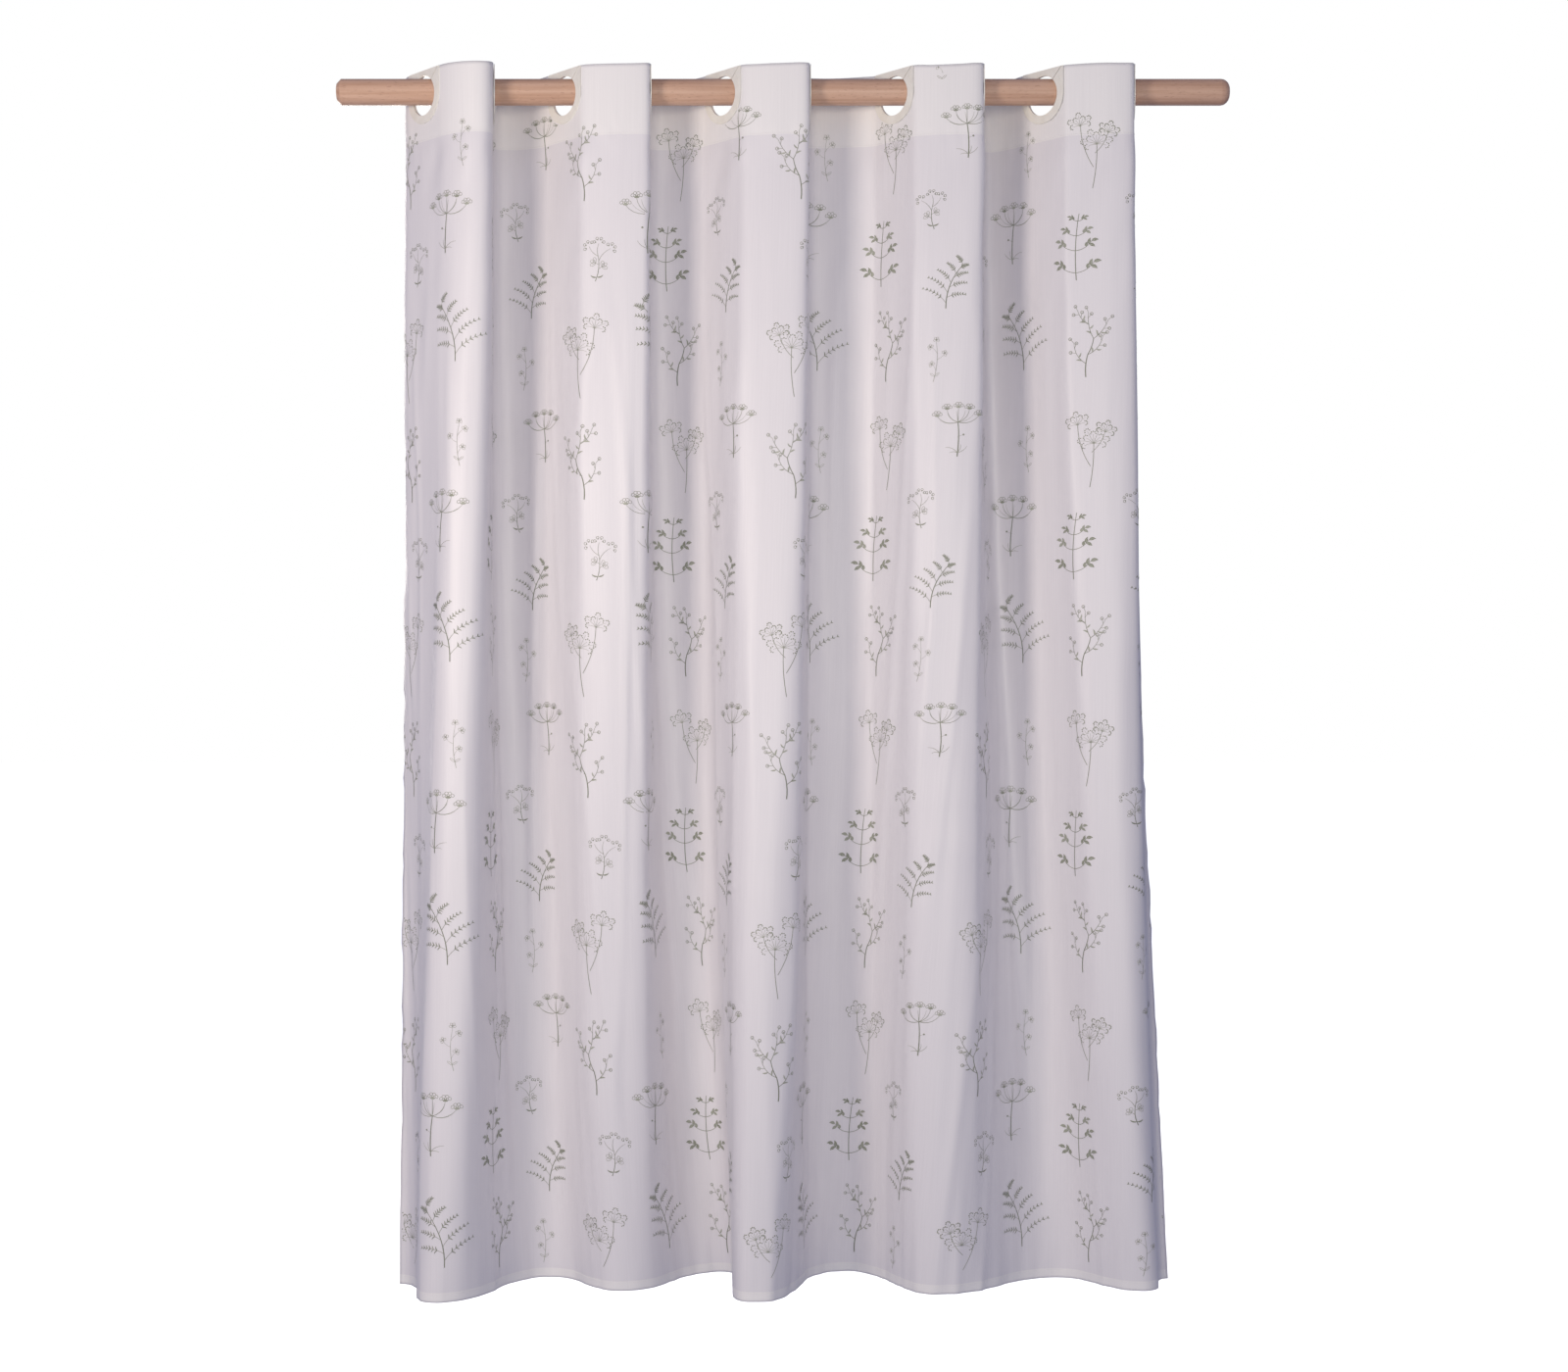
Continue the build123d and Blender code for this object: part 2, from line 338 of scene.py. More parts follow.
def turning(plan, distances):
    """Direction of a plan line at distances along it, as one unbroken angle."""
    steps = np.diff(plan, axis=0)
    lengths = np.linalg.norm(steps, axis=1)
    kept = lengths > 1e-7
    middles = (np.cumsum(lengths) - lengths / 2)[kept]
    angles = np.unwrap(np.arctan2(steps[kept, 1], steps[kept, 0]))
    return np.interp(distances, middles, angles)


def soft_noise(across, down, width, height, seed):
    """Smooth random field of about -1 to 1: random values on a grid of that cell, eased between."""
    u, v = across / width, down / height
    cells = np.random.default_rng(seed).uniform(-1, 1, (int(v.max()) + 3, int(u.max()) + 3))
    i, j = u.astype(int), v.astype(int)
    fu, fv = u - i, v - j
    fu, fv = fu * fu * (3 - 2 * fu), fv * fv * (3 - 2 * fv)
    top = cells[j, i] * (1 - fu) + cells[j, i + 1] * fu
    low = cells[j + 1, i] * (1 - fu) + cells[j + 1, i + 1] * fu
    return top * (1 - fv) + low * fv


def crest(field):
    """A soft crease along the lines where a noise field passes through nought, and level elsewhere."""
    return np.exp(-((field / 0.22) ** 2))


def eased(value, low, high):
    """0 below low, 1 above high and smooth between."""
    share = np.clip((value - low) / (high - low), 0, 1)
    return share * share * (3 - 2 * share)


# The sheet is a grid of distance across the cloth and distance down it. Rows are close where it is sewn.
COLUMNS = 384
across_lines = np.linspace(0, CLOTH_WIDTH, COLUMNS + 1)
down_lines = np.concatenate([
    np.linspace(0, HEAD_DROP, 20, endpoint=False),
    np.linspace(HEAD_DROP, HEAD_DROP + 0.05, 7, endpoint=False),
    np.linspace(HEAD_DROP + 0.05, CLOTH_DROP - 0.05, 84, endpoint=False),
    np.linspace(CLOTH_DROP - 0.05, CLOTH_DROP - HEM_DROP, 7, endpoint=False),
    np.linspace(CLOTH_DROP - HEM_DROP, CLOTH_DROP, 5),
])
across_grid, down_grid = np.meshgrid(across_lines, down_lines)

head_line = head_plan()
foot_line, foot_folds_at = foot_plan()
between_rings = EDGE_TO_RING + RING_PITCH * (np.arange(RING_COUNT - 1) + 0.5)
head_folds_at = np.concatenate([[0], between_rings, [CLOTH_WIDTH]])
opening = np.clip((down_lines - HEAD_DROP) / (CLOTH_DROP - HEAD_DROP), 0, 1) ** FOLD_FALL
fold_numbers = np.arange(RING_COUNT + 1)
rows = []
for share in opening:
    # A fold drifts across the cloth on its way down, and each row's direction blends the head's and the
    # foot's.
    folds_at = head_folds_at * (1 - share) + foot_folds_at * share
    number = np.interp(across_lines, folds_at, fold_numbers)
    head_angle = turning(head_line, np.interp(number, fold_numbers, head_folds_at))
    foot_angle = turning(foot_line, np.interp(number, fold_numbers, foot_folds_at))
    angle = head_angle * (1 - share) + foot_angle * share
    step = (angle[1:] + angle[:-1]) / 2
    run = np.diff(across_lines)[:, None] * np.stack([np.cos(step), np.sin(step)], 1)
    row = np.concatenate([[(0, 0)], np.cumsum(run, 0)])
    start = head_line[0] * (1 - share) + foot_line[0] * share
    end = head_line[-1] * (1 - share) + foot_line[-1] * share
    rows.append(start + row + (end - start - row[-1]) * (across_lines / CLOTH_WIDTH)[:, None])
plan_grid = np.array(rows)

from_ring = np.abs((across_grid - EDGE_TO_RING + RING_PITCH / 2) % RING_PITCH - RING_PITCH / 2)
loose = 1 - (1 - eased(from_ring, plate_half, plate_half + 0.03)) * (1 - eased(down_grid, 0.08, 0.13))
falling = eased(down_grid, HEAD_DROP, 0.6)
below_seam = np.exp(-np.abs(down_grid - HEAD_DROP) / 0.018)
above_foot = np.exp(-(CLOTH_DROP - down_grid) / 0.025)
from_side = np.minimum(across_grid, CLOTH_WIDTH - across_grid)
by_side = np.exp(-from_side / 0.012)
dragged = np.exp(-np.clip(down_grid - HEAD_DROP, 0, None) / 0.16)
dragged *= eased(down_grid, HEAD_DROP - 0.02, HEAD_DROP + 0.04)
billow = loose * (
    0.0030 * falling * soft_noise(across_grid, down_grid, 0.075, 0.70, 1)
    + 0.0012 * soft_noise(across_grid, down_grid, 0.033, 0.45, 2)
    + 0.0006 * falling * soft_noise(across_grid, down_grid, 0.016, 0.22, 3)
    + 0.0009 * below_seam * soft_noise(across_grid, down_grid, 0.011, 0.03, 4)
    + 0.0011 * above_foot * soft_noise(across_grid, down_grid, 0.013, 0.05, 5)
    + 0.0018 * by_side * soft_noise(across_grid, down_grid, 0.05, 0.022, 6)
    + 0.0020 * falling * crest(soft_noise(across_grid + 0.03 * down_grid, down_grid, 0.060, 0.95, 8))
    + 0.0013 * falling * crest(soft_noise(across_grid - 0.05 * down_grid, down_grid, 0.045, 0.60, 9))
    + 0.0022 * dragged * soft_noise(across_grid + 0.45 * down_grid, down_grid, 0.032, 0.16, 10)
)
head_waves = 0.0016 * soft_noise(across_grid, down_grid * 0, 0.06, 1, 7) - 0.001
sag = loose * head_waves * (1 - eased(down_grid, 0, 0.1))


def sheet_faces(points):
    """Unit normals of a grid of points towards the curtain's front, from its two sets of grid lines."""
    along = np.gradient(points, axis=1)
    fall = np.gradient(points, axis=0)
    facing = np.cross(fall, along)
    return facing / np.linalg.norm(facing, axis=2, keepdims=True)


sheet_grid = np.dstack([plan_grid, HEAD_TOP - down_grid + sag])
front_grid = sheet_faces(sheet_grid)
sheet_grid += front_grid * (billow + LAYER)[:, :, None]
front_grid = sheet_faces(sheet_grid)


def grid_place(lines, value):
    """Whole and fractional grid index of values along a set of grid lines."""
    index = np.interp(value, lines, np.arange(len(lines)))
    whole = np.minimum(index.astype(int), len(lines) - 2)
    return whole, (index - whole)[:, None]


def on_cloth(across, down, lift):
    """Points on the sheet's front at distances across and down, lifted off it: a blend of four corners."""
    j, fj = grid_place(across_lines, across)
    i, fi = grid_place(down_lines, down)
    found = []
    for grid in (sheet_grid, front_grid):
        top = grid[i, j] * (1 - fj) + grid[i, j + 1] * fj
        low = grid[i + 1, j] * (1 - fj) + grid[i + 1, j + 1] * fj
        found.append(top * (1 - fi) + low * fi)
    return found[0] + found[1] * np.reshape(lift, (-1, 1))


def new_mesh(name, points, faces, material, smooth=True):
    """A mesh object from point and face arrays, with its material."""
    mesh = bpy.data.meshes.new(name)
    mesh.from_pydata(points.tolist(), [], faces.tolist())
    mesh.materials.append(material)
    mesh.polygons.foreach_set("use_smooth", np.full(len(faces), smooth))
    piece = bpy.data.objects.new(name, mesh)
    bpy.context.scene.collection.objects.link(piece)
    return piece


# Grid points near a ring's cut-out move on to its circle, and what lies inside it is cut away.
ring_across = EDGE_TO_RING + RING_PITCH * np.round((across_grid - EDGE_TO_RING) / RING_PITCH)
from_middle = np.dstack([across_grid - ring_across, (HEAD_TOP - down_grid) - RING_HEIGHT])
distance = np.linalg.norm(from_middle, axis=2)
cell = max(across_lines[1], down_lines[1])
snapped = (np.abs(distance - CUT_RADIUS) < cell * 0.6) & (down_grid > 0)
scale = np.where(snapped, CUT_RADIUS / np.maximum(distance, 1e-6), 1)
cut_across = ring_across + from_middle[:, :, 0] * scale
cut_down = HEAD_TOP - RING_HEIGHT - from_middle[:, :, 1] * scale
cloth_points = on_cloth(cut_across.ravel(), cut_down.ravel(), 0)

numbers = np.arange(across_grid.size).reshape(across_grid.shape)
cell_corners = [numbers[:-1, :-1], numbers[1:, :-1], numbers[1:, 1:], numbers[:-1, 1:]]
cloth_faces = np.stack(cell_corners, 2).reshape(-1, 4)
inside = (distance < CUT_RADIUS) | snapped
cloth_faces = cloth_faces[~inside.ravel()[cloth_faces].all(1)]
used = np.unique(cloth_faces)
renumber = np.zeros(across_grid.size, int)
renumber[used] = np.arange(len(used))
flat_places = np.stack([cut_across.ravel()[used], CLOTH_DROP - cut_down.ravel()[used]], 1)

# The single layer is greyer than the doubled head because one layer is thinner. Its lavender tint is painted
# shade, the colour of the lavender fill in the folds.
SATIN_SINGLE_SHADE_TINTED = (0.785, 0.76, 0.785, 1)
SATIN_HEAD = (0.86, 0.84, 0.835, 1)

satin, tree, shader, add = shader_tree("printed_satin")
flat = add("ShaderNodeUVMap", uv_map="flat")
parts = add("ShaderNodeSeparateXYZ", {"Vector": flat.outputs["UV"]})
doubled = add("ShaderNodeMapRange", {"Value": parts.outputs["Y"]}, interpolation_type="SMOOTHSTEP")
doubled.inputs["From Min"].default_value = CLOTH_DROP - HEAD_DROP - 0.0008
doubled.inputs["From Max"].default_value = CLOTH_DROP - HEAD_DROP + 0.0008
slub_place = add("ShaderNodeMapping", {"Vector": flat.outputs["UV"]}, Scale=(420, 9, 1))
slub = add("ShaderNodeTexNoise", {"Vector": slub_place.outputs["Vector"]}, Scale=1.0, Detail=4.0)
hemmed = add("ShaderNodeMapRange", {"Value": parts.outputs["Y"]}, interpolation_type="SMOOTHSTEP")
hemmed.inputs["From Min"].default_value = HEM_DROP + 0.0008
hemmed.inputs["From Max"].default_value = HEM_DROP - 0.0008
layered = add("ShaderNodeMath", operation="MAXIMUM")
tree.links.new(doubled.outputs["Result"], layered.inputs[0])
tree.links.new(hemmed.outputs["Result"], layered.inputs[1])
# The single layer carries its painted lavender shade; the doubled head and hems are lighter and carry none.
base = add("ShaderNodeMix", data_type="RGBA")
tree.links.new(layered.outputs["Value"], base.inputs["Factor"])
base.inputs["A"].default_value, base.inputs["B"].default_value = SATIN_SINGLE_SHADE_TINTED, SATIN_HEAD
yarn = add("ShaderNodeMapRange", {"Value": slub.outputs["Fac"]})
yarn.inputs["To Min"].default_value, yarn.inputs["To Max"].default_value = 0.95, 1.03
shade = add("ShaderNodeMix", data_type="RGBA", blend_type="MULTIPLY")
shade.inputs["Factor"].default_value = 1.0
tree.links.new(base.outputs["Result"], shade.inputs["A"])
tree.links.new(yarn.outputs["Result"], shade.inputs["B"])
tree.links.new(shade.outputs["Result"], shader.inputs["Base Color"])
shader.inputs["Roughness"].default_value = 0.46
shader.inputs["Specular IOR Level"].default_value = 0.7
shader.inputs["Sheen Weight"].default_value = 0.15
shader.inputs["Sheen Roughness"].default_value = 0.4
# Satin weave: warp floats down the cloth, crossed by the weft every fourth yarn.
warp_place = add("ShaderNodeMapping", {"Vector": flat.outputs["UV"]}, Scale=(2600, 420, 1))
warp = add("ShaderNodeTexNoise", {"Vector": warp_place.outputs["Vector"]}, Scale=1.0, Detail=0.0)
weave = add("ShaderNodeMath", operation="MULTIPLY_ADD")
tree.links.new(warp.outputs["Fac"], weave.inputs[0])
weave.inputs[1].default_value = 0.5
tree.links.new(slub.outputs["Fac"], weave.inputs[2])
woven = add("ShaderNodeBump", {"Height": weave.outputs["Value"]}, Strength=0.22, Distance=0.0005)
tree.links.new(woven.outputs["Normal"], shader.inputs["Normal"])

cloth = new_mesh("satin_cloth", cloth_points[used], renumber[cloth_faces], satin)
flat_map = cloth.data.uv_layers.new(name="flat")
corner_points = np.empty(len(cloth.data.loops), int)
cloth.data.loops.foreach_get("vertex_index", corner_points)
flat_map.data.foreach_set("uv", flat_places[corner_points].ravel())
layers = cloth.vertex_groups.new(name="two_layers")
head_or_hem = (flat_places[:, 1] > CLOTH_DROP - HEAD_DROP - 1e-4) | (flat_places[:, 1] < HEM_DROP + 1e-4)
at_side = np.minimum(flat_places[:, 0], CLOTH_WIDTH - flat_places[:, 0]) < SIDE_HEM
layers.add(np.flatnonzero(head_or_hem | at_side).tolist(), 1.0, "REPLACE")
layers.add(np.flatnonzero(~(head_or_hem | at_side)).tolist(), 0.5, "REPLACE")
thickness = cloth.modifiers.new("layers", "SOLIDIFY")
thickness.thickness = 2 * LAYER
thickness.offset = -1
thickness.vertex_group = "two_layers"
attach(cloth, "rod")
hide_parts(*[f"cloth_strip_{number:02d}" for number in range(1, RING_COUNT + 1)])

# ---- Print -------------------------------------------------------------------------------------------------
# Grey-green ink on the cloth's face: single stems and sprays of meadow plants in a half-drop repeat. Every
# stroke is a ribbon drawn on the flat cloth, as wide as the pen was there, and laid on the hanging sheet.

INK_LIFT = 0.00035
REPEAT_DROP = 0.431
REPEAT_WIDTH = 0.452
INK_DARK = (0.20, 0.215, 0.155, 1)
INK_PALE = (0.44, 0.45, 0.38, 1)


def curve(a, b, bend=0.0, count=6):
    """Points of a quadratic arc from a to b that bulges sideways by a share of its length."""
    a, b = np.array(a, float), np.array(b, float)
    t = np.linspace(0, 1, count)[:, None]
    side = np.array([a[1] - b[1], b[0] - a[0]])
    return a + (b - a) * t + side * bend * 4 * t * (1 - t)


def stroke(points, width, tone=0.9, tip=0.5):
    """A pen line that thins towards its end."""
    taper = width * (1 - (1 - tip) * np.linspace(0, 1, len(points)) ** 1.5)
    return points, taper, tone


def blade(a, b, width, bend=0.0, tone=0.5, count=5):
    """A filled leaf: a ribbon along a curve, widest two fifths along and pointed at both ends."""
    t = np.linspace(0, 1, count)
    return curve(a, b, bend, count), width * np.sin(np.pi * t**0.8) ** 0.8 + 0.0001, tone


def dot(at, radius, tone=0.8):
    """A round bud: a short ribbon with a half-circle's width at each of its stations."""
    t = np.linspace(-1, 1, 4)
    points = np.array(at, float) + np.stack([t * radius, 0 * t], 1)
    return points, 2 * radius * np.sqrt(1 - (0.92 * t) ** 2), tone


def loop(at, width, height, turn, line=0.0006, tone=0.8, count=8):
    """An outlined petal or bud: a closed line round an ellipse that starts at the given point."""
    t = np.linspace(0, 2 * np.pi, count)
    oval = np.stack([-np.sin(t) * width / 2, (1 - np.cos(t)) * height / 2], 1)
    c, s = math.cos(turn), math.sin(turn)
    return np.array(at, float) + oval @ np.array([[c, -s], [s, c]]), np.full(count, line), tone


def polar(at, angle, reach):
    """The point at an angle from upright and a distance."""
    return np.array([at[0] + math.sin(angle) * reach, at[1] + math.cos(angle) * reach])


def leaf(at, angle, length):
    """A small leaf: a pale body with a dark line along one side."""
    end = polar(at, angle, length)
    return [blade(at, end, length * 0.26, 0.1, 0.35), stroke(curve(at, end, 0.2, 4), 0.0006)]


def umbel(at, angle, size, rays=9, spread=1.5, puff=0.2):
    """An open flower head: thin rays that fan out from one point, with separate seeds round each end."""
    marks = []
    for number in range(rays):
        share = number / (rays - 1) * 2 - 1
        turn = angle + share * spread
        reach = size * (1 if number % 2 else 0.7)
        end = polar(at, turn, reach)
        marks.append(stroke(curve(at, end, 0.09 * share, 4), 0.0005, 0.6))
        for seed in range(5):
            place = polar(end, turn + (seed - 2) * 0.75, size * puff)
            marks.append(dot(place, 0.0008 + 0.0003 * (seed % 2), 0.95 - 0.35 * (seed % 2)))
    return marks


def single_umbel():
    """One flat head on a straight stem: five stout rays, a scalloped puff on each, and thin low leaves."""
    marks = [stroke(curve((0, 0), (0.002, 0.052), 0.03, 8), 0.0015, 1.0, 0.75)]
    top = (0.002, 0.052)
    rays = ((-1.25, 0.033), (-0.7, 0.026), (0.0, 0.022), (0.72, 0.026), (1.3, 0.033))
    for number, (turn, reach) in enumerate(rays):
        end = polar(top, turn, reach)
        marks += [stroke(curve(top, end, -0.16 * np.sign(turn), 6), 0.0008, 0.8)]
        twin = polar(top, turn + 0.17, reach * 0.8)
        marks += [stroke(curve(top, twin, -0.12 * np.sign(turn), 5), 0.0005, 0.6)]
        for petal in range(4):
            place = polar(end, (petal - 1.5) * 0.75, 0.0045)
            marks.append(loop(place, 0.0048, 0.0042, (petal - 1.5) * 0.5, 0.0006, 0.75, 7))
            marks.append(blade(end, place, 0.0022, 0, 0.4 + 0.3 * (number % 2), 4))
    for turn, reach in ((-0.95, 0.017), (-0.35, 0.013), (1.15, 0.020), (1.6, 0.012)):
        marks.append(stroke(curve((0, 0.006), polar((0, 0.006), turn, reach), 0.12, 5), 0.0007, 0.6))
    bud = polar((0.001, 0.030), -1.2, 0.009)
    return marks + [stroke(np.array([(0.001, 0.030), bud]), 0.0005, 0.6), dot(bud, 0.0014)]


def triple_umbel():
    """Three open heads at different heights on two long thin stems."""
    marks = [stroke(curve((0, 0), (-0.006, 0.072), 0.03, 10), 0.0009, 0.8, 0.9)]
    marks += [stroke(curve((-0.001, 0.034), (0.020, 0.100), -0.07, 9), 0.0008, 0.75, 0.9)]
    marks += [stroke(curve((-0.003, 0.056), (-0.024, 0.088), 0.08, 6), 0.0007, 0.7, 0.9)]
    marks += umbel((-0.006, 0.070), 0.05, 0.022, 9, 1.75, 0.19)
    return marks + umbel((0.020, 0.100), 0.2, 0.018, 7) + umbel((-0.024, 0.088), -0.3, 0.016, 7)


def fern_spray(lean=-0.45, size=1.0):
    """A ragged spray: a leaning stem, its side branches shorter upwards and fringed with small leaves."""
    stem = curve((0, 0), polar((0, 0), lean, 0.092 * size), 0.10 * np.sign(lean), 10)
    marks = [stroke(stem, 0.0013 * size, 1.0)]
    branches = ((1, 1, 0.054), (2, -1, 0.036), (3, 1, 0.048), (4, -1, 0.034), (5, 1, 0.036), (6, -1, 0.028),
                (7, 1, 0.026), (8, -1, 0.018), (9, 1, 0.020))
    for station, side, reach in branches:
        at = stem[station]
        turn = lean * (0.3 if side > 0 else 1.0) + side * (1.15 - 0.05 * station)
        branch = curve(at, polar(at, turn, reach * size), 0.10 * side, 8)
        marks.append(stroke(branch, 0.0006 * size, 0.7))
        for place in range(2, 8):
            for tooth in (-1, 1):
                way = turn + tooth * (1.15 - 0.07 * place)
                tip = polar(branch[place], way, (0.0080 - 0.0005 * place) * size)
                tone = 0.95 - 0.3 * (place % 2)
                marks.append(blade(branch[place], tip, 0.0013 * size, 0.15 * tooth, tone, 4))
    return marks


def berry_branch():
    """A forked twig with round buds on short stalks, and a few narrow leaves at the forks."""
    marks = [stroke(curve((0, 0), (-0.003, 0.034), -0.05, 6), 0.0015, 1.0, 0.8)]
    marks += [stroke(curve((-0.003, 0.034), (-0.012, 0.058), 0.05, 5), 0.0011, 1.0, 0.8)]
    twigs = [((-0.012, 0.058), (-0.034, 0.086), 0.08), ((-0.012, 0.058), (-0.004, 0.098), -0.08),
             ((-0.003, 0.034), (-0.026, 0.062), 0.14), ((-0.001, 0.020), (0.018, 0.052), -0.14),
             ((-0.004, 0.080), (0.012, 0.100), -0.10)]
    for number, (a, b, bend) in enumerate(twigs):
        twig = curve(a, b, bend, 6)
        marks.append(stroke(twig, 0.0008, 0.85))
        lean = math.atan2(b[0] - a[0], b[1] - a[1])
        for station in (3, 4, 5):
            side = -1 if (station + number) % 2 else 1
            turn = lean + side * (0.9 if station < 5 else 0.2)
            end = polar(twig[station], turn, 0.0060)
            marks.append(stroke(np.array([twig[station], end]), 0.0005, 0.8, 1))
            marks.append(loop(end, 0.0046, 0.0046, turn, 0.0007, 0.9))
            marks.append(dot(polar(end, turn, 0.0018), 0.0008, 0.6))
        marks += leaf(twig[1], lean + 0.9, 0.009) + leaf(twig[2], lean - 1.0, 0.008)
    return marks


def small_cluster(size=1.0):
    """A short sprig: three forks with round buds above, two trefoil leaves half-way up, bracts below."""
    stem = curve((0, 0), (0.004 * size, 0.036 * size), -0.08, 7)
    marks = [stroke(stem, 0.0010 * size, 0.9)]
    for station, turn, reach in ((6, -0.75, 0.020), (6, 0.05, 0.019), (5, 0.8, 0.024)):
        end = polar(stem[station], turn, reach * size)
        marks.append(stroke(curve(stem[station], end, 0.1, 5), 0.0006, 0.75))
        for bud in range(4):
            place = polar(end, turn + (bud - 1.5) * 0.9, 0.0052 * size)
            marks.append(loop(place, 0.0042 * size, 0.0040 * size, turn + (bud - 1.5) * 0.9, 0.0006, 0.8, 7))
            marks.append(dot(place, 0.0009 * size, 0.9))
    for station, turn in ((3, 1.0), (4, -1.1)):
        at = polar(stem[station], turn, 0.006 * size)
        marks.append(stroke(np.array([stem[station], at]), 0.0005, 0.7, 1))
        for lobe in (-0.9, 0.0, 0.9):
            marks.append(loop(at, 0.0052 * size, 0.0085 * size, turn + lobe, 0.0005, 0.6, 8))
            marks.append(stroke(curve(at, polar(at, turn + lobe, 0.005 * size), 0, 3), 0.0005, 0.9))
    for side in (-1, 1):
        bract = polar(stem[1], side * 1.25, 0.010 * size)
        marks.append(blade(stem[1], bract, 0.0020 * size, -0.15 * side, 0.8))
    return marks


def broad_leaf():
    """A straight stem with facing groups of broad leaves in three tiers, and small ones at the top."""
    stem = curve((0, 0), (0.003, 0.096), 0.03, 10)
    marks = [stroke(stem, 0.0012, 0.9, 0.6)]
    for station, reach, size in ((1, 0.030, 1.0), (4, 0.027, 0.9), (6, 0.019, 0.75), (8, 0.011, 0.55)):
        for side in (-1, 1):
            turn = side * 1.05
            stalk = curve(stem[station], polar(stem[station], turn, reach), -0.12 * side, 6)
            marks.append(stroke(stalk, 0.0008, 0.9))
            lobes = ((5, 0.35, 0.011), (4, -0.85, 0.010), (4, 0.95, 0.010), (3, -0.8, 0.008))
            for place, spread, length in lobes:
                way = turn + side * spread
                end = polar(stalk[place], way, length * size)
                marks.append(blade(stalk[place], end, 0.0052 * size, 0.12 * side, 0.55))
                marks.append(stroke(curve(stalk[place], end, 0.26 * side, 5), 0.0008, 1.0, 0.8))
                marks.append(dot(polar(stalk[place], way, length * size * 0.55), 0.0011 * size, 1.0))
    return marks


def thin_flower():
    """A hair-thin stem with a few outlined flowers and leaves."""
    stem = curve((0, 0), (-0.002, 0.060), 0.06, 8)
    marks = [stroke(stem, 0.0006, 0.6)]
    for station, turn, reach in ((7, 0.0, 0.004), (5, 0.8, 0.015), (4, -0.85, 0.014), (2, 0.6, 0.012)):
        end = polar(stem[station], turn, reach)
        marks.append(stroke(curve(stem[station], end, 0.1, 4), 0.0004, 0.6))
        for petal in range(4):
            marks.append(loop(end, 0.0036, 0.0050, turn + (petal - 1.5) * 1.2, 0.00045, 0.55, 7))
        marks.append(dot(end, 0.0009, 0.8))
    for turn in (1.0, -0.9):
        marks.append(loop(stem[1], 0.0026, 0.009, turn, 0.00045, 0.55, 7))
    return marks


# Each plant's place in the repeat: across and up, its mirror, and its share of the full size.
plants = [
    (triple_umbel(), 0.030, 0.000, 1, 1.0),
    (small_cluster(), 0.052, 0.168, 1, 1.0),
    (berry_branch(), 0.034, 0.285, 1, 1.0),
    (fern_spray(-0.35), 0.150, 0.050, 1, 0.95),
    (single_umbel(), 0.128, 0.208, 1, 1.1),
    (thin_flower(), 0.160, 0.330, 1, 1.0),
    (berry_branch(), 0.262, 0.030, -1, 0.95),
    (broad_leaf(), 0.248, 0.170, 1, 1.0),
    (triple_umbel(), 0.270, 0.302, -1, 0.9),
    (thin_flower(), 0.352, 0.022, -1, 0.95),
    (fern_spray(-0.35), 0.366, 0.128, -1, 0.72),
    (small_cluster(), 0.345, 0.243, -1, 0.9),
    (single_umbel(), 0.392, 0.345, -1, 0.95),
]
ink_points, ink_widths, ink_tones, ink_counts = [], [], [], []
INK_MARGIN = 0.002
far_corner = (CLOTH_WIDTH - INK_MARGIN, CLOTH_DROP - INK_MARGIN)
columns = range(-1, int(CLOTH_WIDTH / REPEAT_WIDTH) + 2)
repeats = range(-1, int(CLOTH_DROP / REPEAT_DROP) + 2)
for marks, at_across, at_up, mirror, size in plants:
    lines = np.concatenate([mark[0] for mark in marks]) * (mirror * size, size)
    widths = np.concatenate([mark[1] for mark in marks])
    counts = np.array([len(mark[0]) for mark in marks])
    tones = np.repeat([mark[2] for mark in marks], counts)
    for column in columns:
        for repeat in repeats:
            corner = (at_across + column * REPEAT_WIDTH, at_up + repeat * REPEAT_DROP)
            placed = lines + corner
            inside = (placed > INK_MARGIN).all(1) & (placed < far_corner).all(1)
            whole = np.logical_and.reduceat(inside, np.concatenate([[0], np.cumsum(counts)[:-1]]))
            keep = np.repeat(whole, counts)
            ink_points.append(placed[keep])
            ink_widths.append(widths[keep])
            ink_tones.append(tones[keep])
            ink_counts.append(counts[whole])
ink_points, ink_widths = np.concatenate(ink_points), np.concatenate(ink_widths)
ink_tones, ink_counts = np.concatenate(ink_tones), np.concatenate(ink_counts)

# Each ribbon's two edges stand off its line, square to it. A ribbon that meets a ring's plate is left out.
stroke_number = np.repeat(np.arange(len(ink_counts)), ink_counts)
first = np.concatenate([[True], np.diff(stroke_number) > 0])
last = np.concatenate([np.diff(stroke_number) > 0, [True]])
ahead = np.where(last[:, None], ink_points, np.roll(ink_points, -1, 0))
behind = np.where(first[:, None], ink_points, np.roll(ink_points, 1, 0))
way = ahead - behind
way /= np.maximum(np.linalg.norm(way, axis=1, keepdims=True), 1e-9)
edge = np.stack([-way[:, 1], way[:, 0]], 1) * ink_widths[:, None] / 2
sides = np.stack([ink_points + edge, ink_points - edge], 1).reshape(-1, 2)
near = EDGE_TO_RING + RING_PITCH * np.round((ink_points[:, 0] - EDGE_TO_RING) / RING_PITCH)
high = ink_points[:, 1] - (CLOTH_DROP - HEAD_TOP + RING_HEIGHT)
aside = np.abs(ink_points[:, 0] - near)
on_plate = (aside < plate_half) & ((high > 0) | (np.hypot(aside, high) < plate_half + 0.001))
hidden = np.logical_or.reduceat(on_plate, np.flatnonzero(first))[stroke_number]
joined = ~last & ~hidden
start = 2 * np.flatnonzero(joined)
ink_faces = np.stack([start + 1, start + 3, start + 2, start], 1)
used = np.unique(ink_faces)
renumber = np.zeros(len(sides), int)
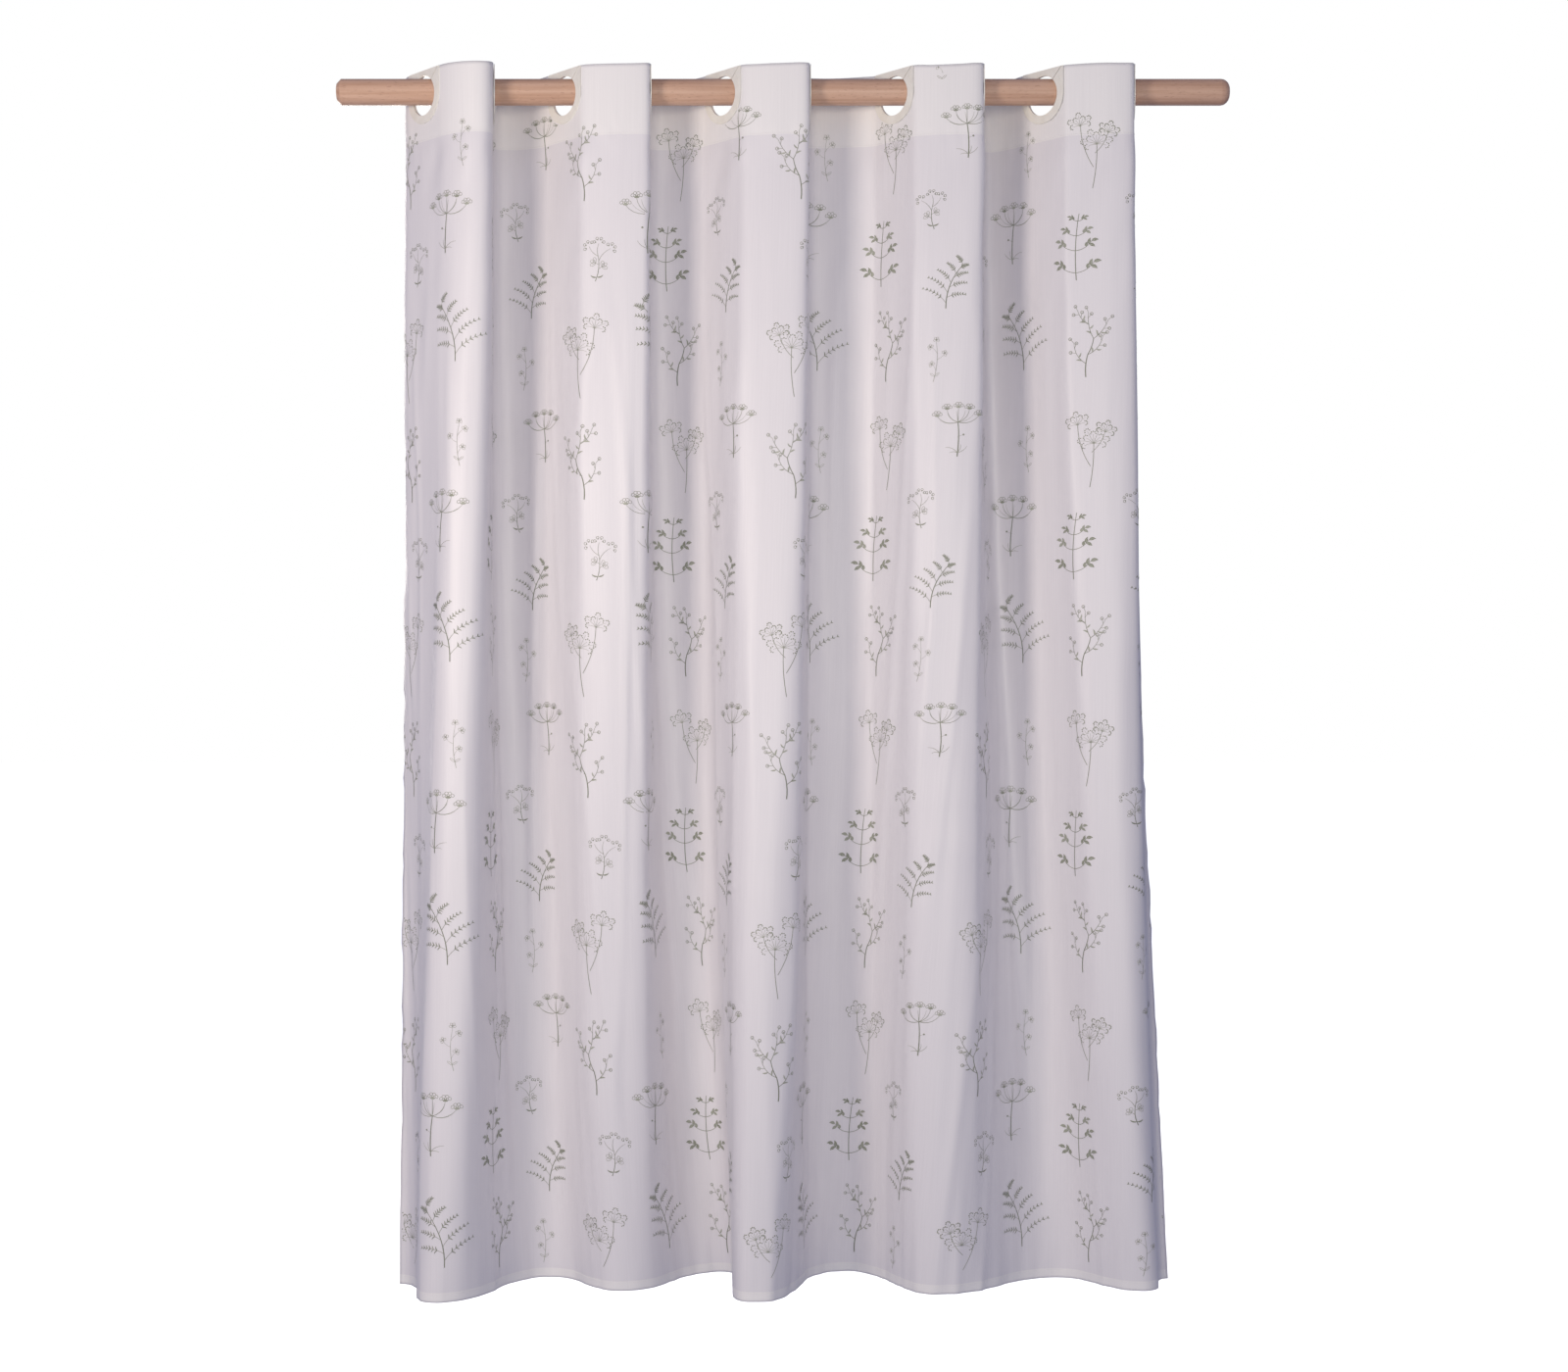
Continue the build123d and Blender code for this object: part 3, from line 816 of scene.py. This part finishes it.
renumber[used] = np.arange(len(used))
ink_lift = INK_LIFT + 0.00005 * (stroke_number % 3)
ink_on_sheet = on_cloth(sides[used, 0], CLOTH_DROP - sides[used, 1], np.repeat(ink_lift, 2)[used])

ink, tree, shader, add = shader_tree("grey_green_ink")
tone = add("ShaderNodeAttribute", attribute_name="tone")
inks = add("ShaderNodeValToRGB", {"Fac": tone.outputs["Fac"]})
inks.color_ramp.elements[0].position, inks.color_ramp.elements[0].color = 0.3, INK_PALE
inks.color_ramp.elements[1].position, inks.color_ramp.elements[1].color = 1.0, INK_DARK
tree.links.new(inks.outputs["Color"], shader.inputs["Base Color"])
shader.inputs["Roughness"].default_value = 0.5
shader.inputs["Sheen Weight"].default_value = 0.2

plant_print = new_mesh("plant_print", ink_on_sheet, renumber[ink_faces], ink)
tones = plant_print.data.attributes.new("tone", "FLOAT", "POINT")
tones.data.foreach_set("value", np.repeat(ink_tones, 2)[used])
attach(plant_print, "rod")

# ---- Seams -------------------------------------------------------------------------------------------------
# White polyester thread, lockstitched: one row under the head, one along the foot hem and one down each side
# hem.

STITCH = 0.0030
STITCH_SHARE = 0.74
THREAD = 0.00028
SEAM_IN = 0.002

thread_white, tree, shader, add = shader_tree("white_thread")
place = add("ShaderNodeTexCoord")
twist = add("ShaderNodeTexNoise", {"Vector": place.outputs["Object"]}, Scale=1500.0, Detail=1.0)
twist_tone = add("ShaderNodeValToRGB", {"Fac": twist.outputs["Fac"]})
twist_tone.color_ramp.elements[0].color = (0.70, 0.68, 0.67, 1)
twist_tone.color_ramp.elements[1].color = (0.90, 0.88, 0.87, 1)
tree.links.new(twist_tone.outputs["Color"], shader.inputs["Base Color"])
shader.inputs["Roughness"].default_value = 0.55


def stitch_row(start, end):
    """Stitches between two places on the cloth: each a squashed six-sided bead that dips at its ends."""
    start, end = np.array(start), np.array(end)
    length = np.linalg.norm(end - start)
    way = (end - start) / length
    side = np.array([-way[1], way[0]])
    begins = np.arange(STITCH, length - STITCH, STITCH)
    t = np.array([0, 0.25, 0.75, 1.0])
    swell = np.array([0.25, 1, 1, 0.25])
    turn = np.linspace(0, 2 * np.pi, 6, endpoint=False)
    along = begins[:, None, None] + (t * STITCH * STITCH_SHARE)[None, :, None] + 0 * turn
    off = swell[None, :, None] * np.cos(turn) * THREAD + 0 * along
    lift = swell[None, :, None] * (1 + np.sin(turn)) * THREAD * 0.8 - 0.0001 + 0 * along
    flat = start + along[..., None] * way + off[..., None] * side
    points = on_cloth(flat[..., 0].ravel(), flat[..., 1].ravel(), lift.ravel())
    index = np.arange(points.shape[0]).reshape(along.shape)
    around = np.roll(index, -1, 2)
    walls = np.stack([index[:, :-1], around[:, :-1], around[:, 1:], index[:, 1:]], 3).reshape(-1, 4)
    ends = np.concatenate([index[:, 0, ::-1], index[:, -1]])
    ends = np.concatenate([ends[:, [0, 1, 2, 3]], ends[:, [0, 3, 4, 5]]])
    return points, np.concatenate([walls, ends])


seam_rows = [
    ((0.004, HEAD_DROP - SEAM_IN), (CLOTH_WIDTH - 0.004, HEAD_DROP - SEAM_IN)),
    ((0.004, CLOTH_DROP - HEM_DROP + SEAM_IN), (CLOTH_WIDTH - 0.004, CLOTH_DROP - HEM_DROP + SEAM_IN)),
    ((SIDE_HEM - SEAM_IN, 0.004), (SIDE_HEM - SEAM_IN, CLOTH_DROP - 0.004)),
    ((CLOTH_WIDTH - SIDE_HEM + SEAM_IN, 0.004), (CLOTH_WIDTH - SIDE_HEM + SEAM_IN, CLOTH_DROP - 0.004)),
]
seam_points, seam_faces = [], []
for row_start, row_end in seam_rows:
    points, faces = stitch_row(row_start, row_end)
    seam_faces.append(faces + sum(len(done) for done in seam_points))
    seam_points.append(points)
seams = new_mesh("seam_stitches", np.concatenate(seam_points), np.concatenate(seam_faces), thread_white)
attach(seams, "rod")

# ---- Own meshes --------------------------------------------------------------------------------------------
# The sheet, its print and its stitches each take a copy of their mesh that they share with nothing else.

for piece in (cloth, plant_print, seams):
    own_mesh(piece)
